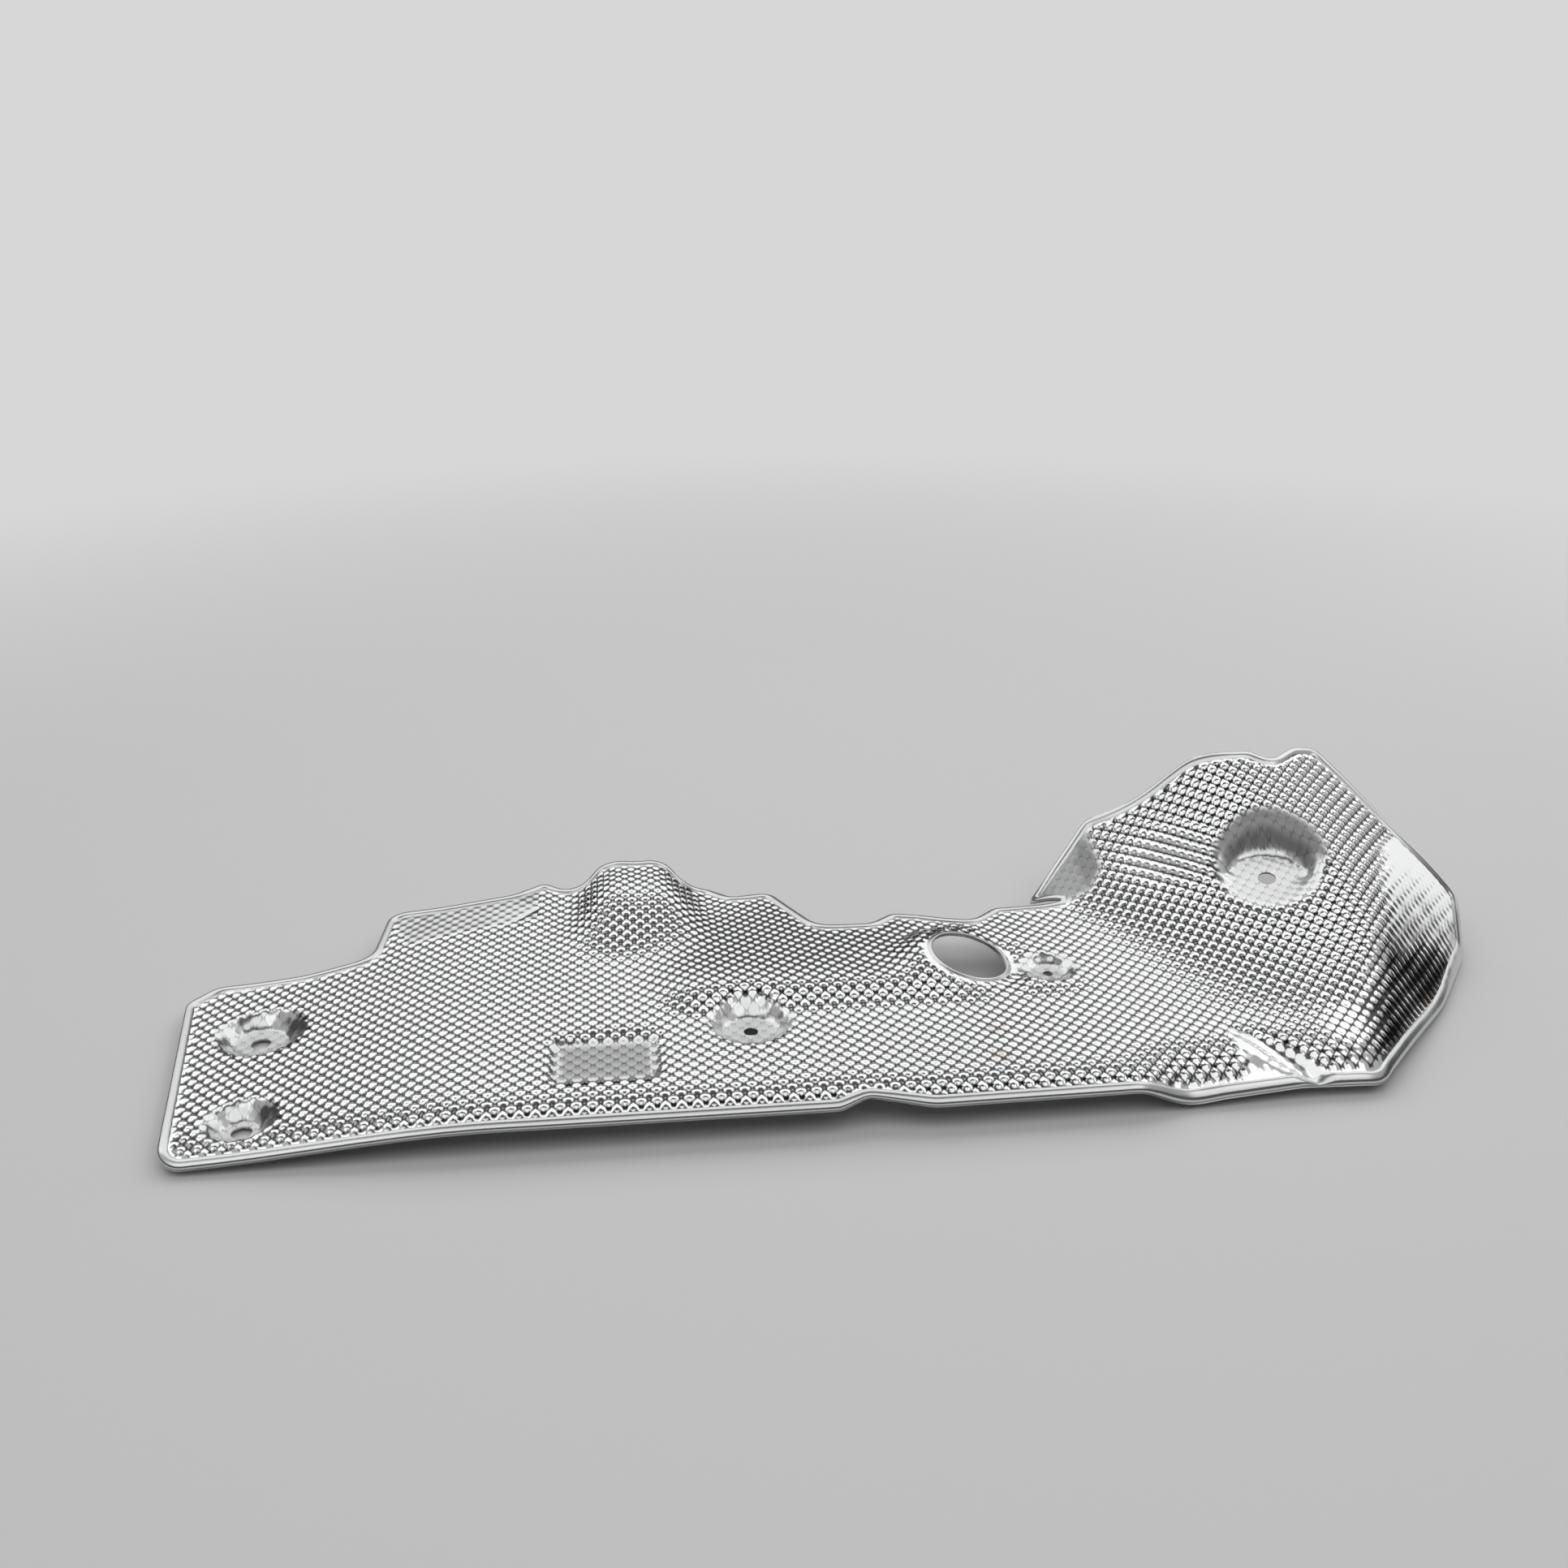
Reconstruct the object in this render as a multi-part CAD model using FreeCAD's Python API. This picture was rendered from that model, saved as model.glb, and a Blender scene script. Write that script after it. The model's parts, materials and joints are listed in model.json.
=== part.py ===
# Heat shield: one pressed aluminium sheet with a folded hem, bolt seats, a large hole and a raised end.
# Frame: +X along the straight front edge, +Y to the rear, +Z up, origin on the floor under the middle.
import FreeCAD, Part
import math
import os

# Sheet and hem
SHEET_THICKNESS = 1.0
HEM_WIDTH = 4.0
HEM_THICKNESS = 1.0

# Outline, counter-clockwise seen from above: x, y and the radius that rounds the corner
FRONT_Y = -117.5
OUTLINE = [
    (-325.0, FRONT_Y, 12.0),
    (-26.0, FRONT_Y - 1.0, 12.0),
    (-13.0, FRONT_Y + 4.0, 9.0),
    (16.0, FRONT_Y - 2.0, 30.0),
    (113.0, FRONT_Y - 1.5, 40.0),
    (191.0, FRONT_Y + 3.0, 40.0),
    (231.0, FRONT_Y + 2.5, 14.0),
    (296.0, -46.5, 150.0),
    (331.0, 0.5, 20.0),
    (341.0, 32.0, 7.0),
    (310.0, 53.0, 40.0),
    (282.0, 105.0, 8.0),
    (267.0, 103.0, 16.0),
    (250.5, 92.0, 8.0),
    (240.0, 100.5, 10.0),
    (206.0, 103.0, 40.0),
    (172.0, 97.0, 60.0),
    (147.0, 104.5, 8.0),
    (105.0, 71.5, 6.0),
    (126.0, 57.0, 1.5),
    (84.0, 57.0, 8.0),
    (69.0, 43.0, 9.0),
    (27.0, 58.0, 8.0),
    (13.0, 45.5, 12.0),
    (-16.0, 47.0, 14.0),
    (-37.0, 97.0, 8.0),
    (-59.0, 92.0, 7.0),
    (-72.0, 109.0, 9.0),
    (-87.0, 108.0, 5.0),
    (-93.0, 115.0, 6.0),
    (-134.0, 118.5, 8.0),
    (-142.0, 110.0, 7.0),
    (-155.0, 110.5, 9.0),
    (-164.5, 117.5, 6.0),
    (-182.0, 104.5, 20.0),
    (-222.0, 97.5, 40.0),
    (-250.0, 97.5, 10.0),
    (-254.0, 48.0, 14.0),
    (-286.0, 38.5, 40.0),
    (-331.0, 35.0, 12.0),
    (-343.5, 19.5, 9.0),
]

# Panel: level in the middle, sinking to the floor at the left end
PANEL_HEIGHT = 17.0
LEFT_END_HEIGHT = 6.5
LEFT_END_X = -334.0
LEFT_BEND_X = -182.0

# Front edge: rolled down along the panel, deeper along the raised end
PANEL_ROLL_DEPTH = 4.5
PANEL_ROLL_WIDTH = 16.0
END_ROLL_DEPTH = 14.0
END_ROLL_WIDTH = 28.0
END_ROLL_FROM_X = 110.0
END_ROLL_TO_X = 138.0

# Rear field: a low step up from the panel, falling gently to the rear edge
REAR_STEP_HEIGHT = 6.0
REAR_STEP_Y = -30.0
REAR_STEP_RUN = 18.0
REAR_LEFT_X = -130.0
REAR_LEFT_SLANT = 0.30
REAR_LEFT_RUN = 28.0
REAR_FADE_FROM_X = 48.0
REAR_FADE_TO_X = 138.0
REAR_FALL = 0.075

# Hump at the rear edge
HUMP_HEIGHT = 16.0
HUMP_LEFT_X = -136.5
HUMP_RIGHT_X = -88.0
HUMP_FLANK_RUN = 22.0
HUMP_FRONT_Y = 15.0
HUMP_REAR_Y = 91.0
HUMP_SPREAD = 0.25

# Raised end: a ramp that climbs to the rear, starting at a slanted foot line
RAMP_FOOT_X = 106.0
RAMP_FOOT_Y = 101.0
RAMP_FOOT_SLANT = 0.425
RAMP_RUN = 105.0
RAMP_ROUNDING = 0.13
RAMP_SLOPE = 0.37
RAMP_START_Y = -92.0
CROWN_X = 250.0
CROWN_FALL = 0.0042

# Right flank: falls from the ramp to the floor along two foot lines
FLANK_FOOT = [(255.0, -91.0), (297.0, -44.0), (324.0, -7.0)]
FLANK_FOOT_HEIGHT = 6.0
FLANK_SLOPE = 1.0
FLANK_REAR_SLOPE = 2.2
FLANK_STEEPER_FROM_Y = -47.0
FLANK_STEEPER_TO_Y = -15.0
FLANK_ROUNDING = 5.0

# Dip beside the slit between the panel and the raised end
SLIT_DIP_X = 104.0
SLIT_DIP_Y = 81.0
SLIT_DIP_DEPTH = 9.0
SLIT_DIP_REACH = 13.0

# Dart pressed into the front of the raised end, growing from its tip to the front edge
DART_TIP = (167.0, -76.0)
DART_FOOT = (193.0, -108.0)
DART_TIP_RADIUS = 1.0
DART_FOOT_RADIUS = 8.0
DART_DEPTH = 3.0

# Shallow rectangular recess with sloping walls
RECESS_X = -131.0
RECESS_Y = -71.0
RECESS_LENGTH = 48.0
RECESS_WIDTH = 34.0
RECESS_CORNER = 5.0
RECESS_DEPTH = 2.6
RECESS_WALL_RUN = 3.0

# Large round hole on its own tilted seat with a raised rim
LARGE_HOLE_X = 57.0
LARGE_HOLE_Y = -2.0
LARGE_HOLE_DIAMETER = 40.0
LARGE_SEAT_FALL_X = 0.24
LARGE_SEAT_RISE_Y = 0.10
LARGE_SEAT_MARGIN = 3.0
LARGE_SEAT_RUN = 17.0
RIM_WIDTH = 2.5
RIM_HEIGHT = 1.0

# Bolt seats: centre x, y, floor radius, wall run, depth of the floor below the sheet around it (None: down to
# the ground), hole diameter, and how much the floor rises along x and along y
SEATS = {
    "left_rear": (-300.5, -14.0, 13.5, 7.5, None, 9.5, 0.0, 0.0),
    "left_front": (-294.5, -90.5, 9.0, 6.5, None, 9.5, 0.0, 0.0),
    "middle": (-60.5, -46.5, 13.0, 6.5, 6.0, 7.0, 0.0, 0.0),
    "small": (96.5, -12.5, 9.0, 6.0, 5.0, 5.0, 0.0, 0.0),
    "raised": (225.8, 25.5, 21.0, 6.0, 8.8, 9.5, 0.15, 0.26),
}

# Lines along which the pressed face is laid out: where each stretch starts and how far apart its lines are
COLUMN_STRETCHES = [
    (-352.0, 32.0),
    (-160.0, 12.0),
    (-64.0, 27.0),
    (16.0, 8.0),
    (120.0, 16.0),
    (200.0, 16.0),
    (264.0, 8.0),
    (352.0, 8.0),
]
ROW_STRETCHES = [
    (-128.0, 7.0),
    (-100.0, 28.0),
    (-44.0, 8.0),
    (-12.0, 7.5),
    (40.0, 18.0),
    (132.0, 18.0),
]
CUT_REACH = 40.0


def ease(start, end, value):
    """Smooth 0 to 1 share of the way from start to end."""
    share = min(1.0, max(0.0, (value - start) / (end - start)))
    return share * share * (3.0 - 2.0 * share)


def rounded_ramp(share, rounding):
    """0 to 1 ramp whose two bends are rounded."""
    before = math.hypot(share, rounding)
    after = math.hypot(share - 1.0, rounding)
    return 0.5 + 0.5 * (before - after)


def rounded_lower(first, second, rounding):
    """The lower of two heights, with the ridge between them rounded."""
    return 0.5 * (first + second - math.hypot(first - second, rounding))


def left_of(point, start, end):
    """Distance of a point to the left of the line from start to end."""
    run_x, run_y = end[0] - start[0], end[1] - start[1]
    length = math.hypot(run_x, run_y)
    return ((point[1] - start[1]) * run_x - (point[0] - start[0]) * run_y) / length


def panel(x, y):
    return LEFT_END_HEIGHT + (PANEL_HEIGHT - LEFT_END_HEIGHT) * ease(LEFT_END_X, LEFT_BEND_X, x)


def rear_field(x, y):
    left = REAR_LEFT_X + REAR_LEFT_SLANT * (HUMP_REAR_Y - y)
    behind = y - REAR_STEP_Y
    share = ease(left - REAR_LEFT_RUN / 2, left + REAR_LEFT_RUN / 2, x)
    share *= ease(-REAR_STEP_RUN / 2, REAR_STEP_RUN / 2, behind)
    share *= 1.0 - ease(REAR_FADE_FROM_X, REAR_FADE_TO_X, x)
    return share * (REAR_STEP_HEIGHT - REAR_FALL * max(0.0, behind - REAR_STEP_RUN / 2))


def hump(x, y):
    spread = HUMP_SPREAD * max(0.0, HUMP_REAR_Y - y)
    half_run = HUMP_FLANK_RUN / 2
    share = ease(HUMP_LEFT_X - half_run - spread, HUMP_LEFT_X + half_run, x)
    share *= 1.0 - ease(HUMP_RIGHT_X - half_run, HUMP_RIGHT_X + half_run + spread, x)
    return HUMP_HEIGHT * share * ease(HUMP_FRONT_Y, HUMP_REAR_Y, y)


def raised_end(x, y):
    foot_x = RAMP_FOOT_X + RAMP_FOOT_SLANT * (RAMP_FOOT_Y - y)
    climb = RAMP_SLOPE * max(0.0, y - RAMP_START_Y)
    crown = CROWN_FALL * max(0.0, x - CROWN_X) ** 2
    return climb * rounded_ramp((x - foot_x) / RAMP_RUN, RAMP_ROUNDING) - crown


def slit_dip(x, y):
    reach = math.hypot(x - SLIT_DIP_X, y - SLIT_DIP_Y) / SLIT_DIP_REACH
    return SLIT_DIP_DEPTH * math.exp(-reach * reach)


def front_roll(x, y):
    share = ease(END_ROLL_FROM_X, END_ROLL_TO_X, x)
    depth = PANEL_ROLL_DEPTH + (END_ROLL_DEPTH - PANEL_ROLL_DEPTH) * share
    width = PANEL_ROLL_WIDTH + (END_ROLL_WIDTH - PANEL_ROLL_WIDTH) * share
    return depth * max(0.0, 1.0 - (y - FRONT_Y) / width) ** 2


def right_flank(x, y):
    front = left_of((x, y), FLANK_FOOT[0], FLANK_FOOT[1])
    rear = left_of((x, y), FLANK_FOOT[1], FLANK_FOOT[2])
    steeper = ease(FLANK_STEEPER_FROM_Y, FLANK_STEEPER_TO_Y, y)
    rear_slope = FLANK_SLOPE + (FLANK_REAR_SLOPE - FLANK_SLOPE) * steeper
    return FLANK_FOOT_HEIGHT + rounded_lower(FLANK_SLOPE * front, rear_slope * rear, FLANK_ROUNDING)


def pressed_sheet(x, y):
    """Height of the visible face around the large seat and the features pressed in last."""
    height = panel(x, y) + rear_field(x, y) + hump(x, y) + raised_end(x, y)
    height -= slit_dip(x, y) + front_roll(x, y)
    return rounded_lower(height, right_flank(x, y), FLANK_ROUNDING)


def visible_face(x, y):
    """Height of the visible face, with the tilted seat of the large hole."""
    height = pressed_sheet(x, y)
    from_x, from_y = x - LARGE_HOLE_X, y - LARGE_HOLE_Y
    flat_radius = LARGE_HOLE_DIAMETER / 2 + LARGE_SEAT_MARGIN
    share = 1.0 - ease(flat_radius, flat_radius + LARGE_SEAT_RUN, math.hypot(from_x, from_y))
    seat = pressed_sheet(LARGE_HOLE_X, LARGE_HOLE_Y)
    seat += LARGE_SEAT_RISE_Y * from_y - LARGE_SEAT_FALL_X * from_x
    return height + share * (seat - height)


def offset_face(height_at, x, y, thickness):
    """Height of the face that lies a thickness above another, measured square to it."""
    step = 0.5
    slope_x = (height_at(x + step, y) - height_at(x - step, y)) / (2 * step)
    slope_y = (height_at(x, y + step) - height_at(x, y - step)) / (2 * step)
    return height_at(x, y) + thickness * math.sqrt(1.0 + slope_x ** 2 + slope_y ** 2)


def hidden_face(x, y):
    return offset_face(visible_face, x, y, -SHEET_THICKNESS)


def hem_face(x, y):
    return offset_face(visible_face, x, y, HEM_THICKNESS)


def middle_face(x, y):
    return visible_face(x, y) - SHEET_THICKNESS / 2


def layout_lines(stretches):
    """Places of the layout lines along one direction, and which of them start or end a stretch."""
    lines, ends = [], [0]
    for (start, step), (end, next_step) in zip(stretches, stretches[1:]):
        count = max(1, round((end - start) / step))
        lines += [start + (end - start) * index / count for index in range(count)]
        ends.append(len(lines))
    return lines + [stretches[-1][0]], ends


def curved_shell(height_at):
    """Smooth surface through the layout points, as one face for each pair of stretches."""
    columns, column_ends = layout_lines(COLUMN_STRETCHES)
    rows, row_ends = layout_lines(ROW_STRETCHES)
    points = [[FreeCAD.Vector(x, y, height_at(x, y)) for y in rows] for x in columns]
    surface = Part.BSplineSurface()
    surface.interpolate(points)
    across = [surface.getUKnot(index + 1) for index in column_ends]
    along = [surface.getVKnot(index + 1) for index in row_ends]
    faces = []
    for left, right in zip(across, across[1:]):
        for front, rear in zip(along, along[1:]):
            faces.append(surface.toShape(left, right, front, rear))
    shell = Part.makeShell(faces)
    shell.sewShape()
    return shell


def cut_level(solid, heights):
    """Pieces of an upright solid cut along curved faces, from the lowest to the highest."""
    shells = [curved_shell(height_at) for height_at in heights]
    pieces = solid.generalFuse(shells)[0].Solids
    return sorted(pieces, key=lambda piece: piece.CenterOfMass.z)


def inset_corner(corners, index, inset):
    """Corner moved inwards, its radius, and the directions into and out of it."""
    before = FreeCAD.Vector(*corners[index - 1][:2], 0)
    corner = FreeCAD.Vector(*corners[index][:2], 0)
    after = FreeCAD.Vector(*corners[(index + 1) % len(corners)][:2], 0)
    into = (corner - before).normalize()
    out = (after - corner).normalize()
    inward_in = FreeCAD.Vector(-into.y, into.x, 0)
    inward_out = FreeCAD.Vector(-out.y, out.x, 0)
    shift = (inward_in + inward_out) * (inset / (1.0 + inward_in.dot(inward_out)))
    outward_turn = into.x * out.y - into.y * out.x > 0
    radius = corners[index][2] + (-inset if outward_turn else inset)
    return corner + shift, radius, into, out


def rounded_wire(corners, inset, height):
    """Closed wire of lines and tangent arcs through rounded corners, moved inwards by an inset."""
    arcs = []
    for index in range(len(corners)):
        corner, radius, into, out = inset_corner(corners, index, inset)
        turn = into.getAngle(out)
        reach = radius * math.tan(turn / 2)
        inwards = (out - into).normalize()
        middle = corner + inwards * (radius / math.cos(turn / 2) - radius)
        arcs.append((corner - into * reach, middle, corner + out * reach))
    edges = []
    for index, (begin, middle, end) in enumerate(arcs):
        edges.append(Part.LineSegment(arcs[index - 1][2], begin).toShape())
        edges.append(Part.Arc(begin, middle, end).toShape())
    wire = Part.Wire(edges)
    wire.translate(FreeCAD.Vector(0, 0, height))
    return wire


def outline_prism(inset):
    """Upright prism over the outline, moved inwards by an inset."""
    highest = pressed_sheet(CROWN_X, max(point[1] for point in OUTLINE))
    face = Part.Face(rounded_wire(OUTLINE, inset, -CUT_REACH))
    return face.extrude(FreeCAD.Vector(0, 0, highest + 3 * CUT_REACH))


def seat_floor(seat):
    """Middle of a seat's floor and the direction square to it."""
    x, y, radius, run, depth, hole, rise_x, rise_y = seat
    height = SHEET_THICKNESS if depth is None else pressed_sheet(x, y) - depth
    return FreeCAD.Vector(x, y, height), FreeCAD.Vector(-rise_x, -rise_y, 1).normalize()


def seat_cup(seat, grow):
    """Cone of a seat's inside, or grown by the sheet's thickness its outside, past the visible face."""
    x, y, radius, run, depth, hole, rise_x, rise_y = seat
    floor, axis = seat_floor(seat)
    rise = pressed_sheet(x, y) - floor.z
    steepness = math.atan2(rise, run)
    height = 2 * rise + grow
    floor_radius = radius + grow * math.tan(steepness / 2)
    mouth_radius = floor_radius + height * run / rise
    return Part.makeCone(floor_radius, mouth_radius, height, floor - axis * grow, axis)


def recess_pan(grow):
    """Tapered inside of the recess, or grown by the sheet's thickness its outside."""
    corners = []
    for side_x, side_y in ((-1, -1), (1, -1), (1, 1), (-1, 1)):
        x = RECESS_X + side_x * RECESS_LENGTH / 2
        y = RECESS_Y + side_y * RECESS_WIDTH / 2
        corners.append((x, y, RECESS_CORNER))
    steepness = math.atan2(RECESS_DEPTH, RECESS_WALL_RUN)
    floor_height = pressed_sheet(RECESS_X, RECESS_Y) - RECESS_DEPTH - grow
    spread = grow * math.tan(steepness / 2)
    rise = 2 * RECESS_DEPTH + grow
    floor = rounded_wire(corners, -spread, floor_height)
    mouth = rounded_wire(corners, -spread - rise * RECESS_WALL_RUN / RECESS_DEPTH, floor_height + rise)
    return Part.makeLoft([floor, mouth], True, True)


def dart(grow):
    """Cone lying in the front of the raised end, or grown by the sheet's thickness its outside."""
    tip = FreeCAD.Vector(*DART_TIP, visible_face(*DART_TIP) + DART_TIP_RADIUS)
    foot_height = visible_face(*DART_FOOT) + DART_FOOT_RADIUS - DART_DEPTH
    foot = FreeCAD.Vector(*DART_FOOT, foot_height)
    run = foot - tip
    reach = 1.5
    foot_radius = DART_TIP_RADIUS + reach * (DART_FOOT_RADIUS - DART_TIP_RADIUS)
    return Part.makeCone(DART_TIP_RADIUS + grow, foot_radius + grow, reach * run.Length, tip, run)


def large_hole_axis():
    centre = FreeCAD.Vector(LARGE_HOLE_X, LARGE_HOLE_Y, pressed_sheet(LARGE_HOLE_X, LARGE_HOLE_Y))
    return centre, FreeCAD.Vector(LARGE_SEAT_FALL_X, -LARGE_SEAT_RISE_Y, 1).normalize()


def raised_rim():
    """Collar round the large hole, wider at its foot in the sheet."""
    centre, axis = large_hole_axis()
    foot_radius = LARGE_HOLE_DIAMETER / 2 + RIM_WIDTH
    height = RIM_HEIGHT + SHEET_THICKNESS / 2
    return Part.makeCone(foot_radius, foot_radius - RIM_WIDTH / 2, height, centre - axis * SHEET_THICKNESS / 2, axis)


def hole_tool(centre, axis, diameter):
    return Part.makeCylinder(diameter / 2, CUT_REACH / 2, centre - axis * CUT_REACH / 4, axis)


def hole_tools():
    tools = [hole_tool(*large_hole_axis(), LARGE_HOLE_DIAMETER)]
    for seat in SEATS.values():
        tools.append(hole_tool(*seat_floor(seat), seat[5]))
    return tools


def pressings(grow):
    """Insides of everything pressed down from the visible face, or grown by the thickness their outsides."""
    return [seat_cup(seat, grow) for seat in SEATS.values()] + [recess_pan(grow), dart(grow)]


def heat_shield():
    """Blank as thick as the hem, opened inside the hem down to the sheet, then pressed and punched."""
    outline = outline_prism(0.0)
    blank = cut_level(outline, [hidden_face, hem_face])[1]
    inside_hem = cut_level(outline_prism(HEM_WIDTH), [visible_face])[-1]
    under = cut_level(outline, [middle_face])[0]
    outsides = [solid.common(under) for solid in pressings(SHEET_THICKNESS)]
    sheet = blank.cut(inside_hem).fuse(outsides + [raised_rim()])
    sheet = sheet.cut(pressings(0.0) + hole_tools()).Solids[0]
    middle = outline.optimalBoundingBox().Center
    return sheet.translated(FreeCAD.Vector(-middle.x, -middle.y, 0))


os.makedirs("parts", exist_ok=True)
heat_shield().exportStep("parts/heat_shield.step")
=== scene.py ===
import bpy
import bmesh
import json
import math
from collections import namedtuple
from mathutils import Matrix, Vector, kdtree, noise
from mathutils.bvhtree import BVHTree


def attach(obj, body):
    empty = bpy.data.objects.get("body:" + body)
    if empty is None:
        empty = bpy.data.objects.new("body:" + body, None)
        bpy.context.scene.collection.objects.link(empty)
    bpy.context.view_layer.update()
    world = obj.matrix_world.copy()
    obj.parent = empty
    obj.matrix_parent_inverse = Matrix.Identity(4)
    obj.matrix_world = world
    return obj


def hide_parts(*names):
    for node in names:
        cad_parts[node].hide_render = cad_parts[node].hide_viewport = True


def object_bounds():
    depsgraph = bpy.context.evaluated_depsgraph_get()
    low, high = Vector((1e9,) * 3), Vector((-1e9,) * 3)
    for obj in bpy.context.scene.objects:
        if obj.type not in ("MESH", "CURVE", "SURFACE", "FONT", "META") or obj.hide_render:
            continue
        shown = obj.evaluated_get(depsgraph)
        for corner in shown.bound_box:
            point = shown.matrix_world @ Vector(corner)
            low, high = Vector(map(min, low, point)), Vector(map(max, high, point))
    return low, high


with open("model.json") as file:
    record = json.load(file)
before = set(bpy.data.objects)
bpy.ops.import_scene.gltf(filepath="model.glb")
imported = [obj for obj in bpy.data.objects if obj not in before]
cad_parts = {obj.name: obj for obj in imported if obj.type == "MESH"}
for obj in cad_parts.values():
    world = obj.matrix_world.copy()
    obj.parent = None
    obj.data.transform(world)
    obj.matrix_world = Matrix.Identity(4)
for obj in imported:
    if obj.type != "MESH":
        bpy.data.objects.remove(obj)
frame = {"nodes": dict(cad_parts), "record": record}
cad_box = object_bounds()
shield = frame["nodes"]["heat_shield"]
bolt_holes = frame["record"]["mounts"]

# Lengths are in metres, and in mm where a comment says so
MM = 0.001
SHEET_THICKNESS = 1.0 * MM
DROP_HEIGHT = 0.2
MISS_HEIGHT = 10.0 * MM
TINY = 1e-9

# Reading the solid: gap that merges its points, slopes of its underside and walls, steps along its outline
MERGE_GAP = 0.002 * MM
UNDERSIDE_SLOPE = -0.05
WALL_SLOPE = 0.02
OUTLINE_PARTS = 4

# Emboss: staggered domes with a groove between each pair of neighbours
DOME_ORIGIN = (1.66 * MM, 0.64 * MM)
DOME_STEP_X = 3.6 * MM
DOME_STEP_Y = 3.85 * MM
DOME_PARTS = 4
DOMES_TO_CORNER = 130
DOME_RADIUS = 2.75 * MM
DOME_RING = 1.5 * MM
DOME_RING_FROM = 0.5 * MM
DOME_RING_TO = 2.2 * MM
DOME_FULLNESS = 2.4
DOME_RISE = 0.6 * MM
GROOVE_DROP = 0.6 * MM

# Slight waves of the bare sheet, which fade out at the edge and round the bolt holes
WAVE_LENGTH = 45.0 * MM
WAVE_HEIGHT = 0.3 * MM
WAVE_EDGE_FADE = 20.0 * MM
WAVE_HOLE_FADE = (22.0 * MM, 45.0 * MM)

# Hem: the edge folded over on the visible side, and the insets in mm at which the solid's heights are read
HEM_WIDTH = 4.0 * MM
HEM_THICKNESS = 1.0 * MM
HEM_POINT_GAP = 2.5 * MM
HEM_TUCK = 1.2 * MM
HEM_FADE = 2.5 * MM
HEM_OVERLAP = 0.05 * MM
STEEPEST_SLOPE = 0.4
HEM_NEAR = 1.0
HEM_FAR = 3.0

# Large hole in the panel, with its raised rim
LARGE_HOLE_CENTRE = (58.66 * MM, -1.36 * MM, 21.3 * MM)
LARGE_HOLE_AXIS = (0.2322, -0.0968, 0.9678)
RIM_FOOT_RADIUS = 22.6 * MM
RIM_TUCK = 0.5 * MM
RIM_FADE = 3.0 * MM

# Edges of all holes: how near a hole an open edge is drawn onto its circle, and depth of the hole's wall
HOLE_SNAP = 3.0 * MM
HOLE_WALL_DEPTH = 0.9 * SHEET_THICKNESS

# Bolt seats flatten the emboss: radii of floor and mouth, shift of the mouth, dullness of the floor, which is
# also painted darker as painted shade
Seat = namedtuple("Seat", "floor mouth shift_x shift_y dullness")
FLAT_SEATS = {
    "bolt_hole_left_rear": Seat(13.5 * MM, 22.0 * MM, 0.0, 0.0, 0.5),
    "bolt_hole_left_front": Seat(9.0 * MM, 17.0 * MM, 0.0, 0.0, 0.5),
    "bolt_hole_middle": Seat(13.0 * MM, 20.5 * MM, 0.0, 0.0, 0.5),
    "bolt_hole_small": Seat(9.0 * MM, 16.0 * MM, 0.0, 0.0, 0.5),
    "bolt_hole_raised": Seat(21.0 * MM, 29.0 * MM, 3.0 * MM, 5.0 * MM, 0.3),
}
SEAT_FADE = 4.0 * MM
SEAT_FLOOR_FADE = 2.0 * MM
SEAT_FORM = 0.2
# Painted shade: seats keep most of the dark groove lines in colour though their domes are pressed nearly flat
SEAT_SHADE_LINES = 0.73
# Seat walls are rougher and also painted darker as painted shade
SEAT_WALL_DULLNESS_AND_SHADE = 0.22

# The raised seat's rear wall is dull and painted darker as painted shade, and its rear lies a little to the
# right
RAISED_SEAT = "bolt_hole_raised"
RAISED_REAR_FADE = 14.0 * MM
RAISED_REAR_SKEW = 0.4

# Flattened patches in mm, counter-clockwise: corners, share left of the domes' form, share left of the
# painted shade of the groove lines, dullness with its painted shade, fade at the border
RECESS = [(-155.0, -89.0), (-104.0, -89.0), (-104.0, -52.0), (-155.0, -52.0)]
RECESS_FLOOR = [(-150.0, -84.0), (-108.5, -84.0), (-108.5, -56.5), (-150.0, -56.5)]
PAD = [(-235.0, 58.5), (-166.0, 75.5), (-166.0, 113.5), (-248.0, 96.5)]
SLIT_FLANK = [(106.5, 72.0), (127.5, 57.5), (139.5, 58.5), (149.5, 71.5), (148.5, 105.0)]
FACET = [(139.0, 59.0), (149.5, 71.5), (148.5, 85.5), (142.5, 96.5), (138.5, 77.5)]
WEDGE = [(167.0, -116.0), (205.0, -113.0), (199.0, -99.0), (182.0, -88.0), (170.0, -79.0)]
CORNER = [
    (280.0, -18.0), (304.0, -14.0), (331.0, 0.0), (345.0, 34.0),
    (326.0, 62.0), (298.0, 38.0), (284.0, 8.0),
]
FLANK = [(236.0, -96.0), (262.0, -92.0), (330.0, -8.0), (300.0, -18.0), (262.0, -50.0), (240.0, -72.0)]
FLAT_PATCHES = [
    (RECESS, 0.3, 0.85, 0.3, 1.5),
    (RECESS_FLOOR, 0.25, 0.83, 0.7, 1.5),
    (PAD, 0.25, 0.35, 0.2, 2.0),
    (SLIT_FLANK, 0.3, 0.72, 0.85, 4.0),
    (FACET, 0.05, 0.75, 1.0, 1.5),
    (WEDGE, 0.2, 0.2, 0.0, 4.0),
    (CORNER, 0.06, 0.06, 0.0, 6.0),
    (FLANK, 0.3, 1.0, 0.0, 8.0),
]
FACET_DENT = 1.2 * MM
FACET_DENT_FADE = 1.5

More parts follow.
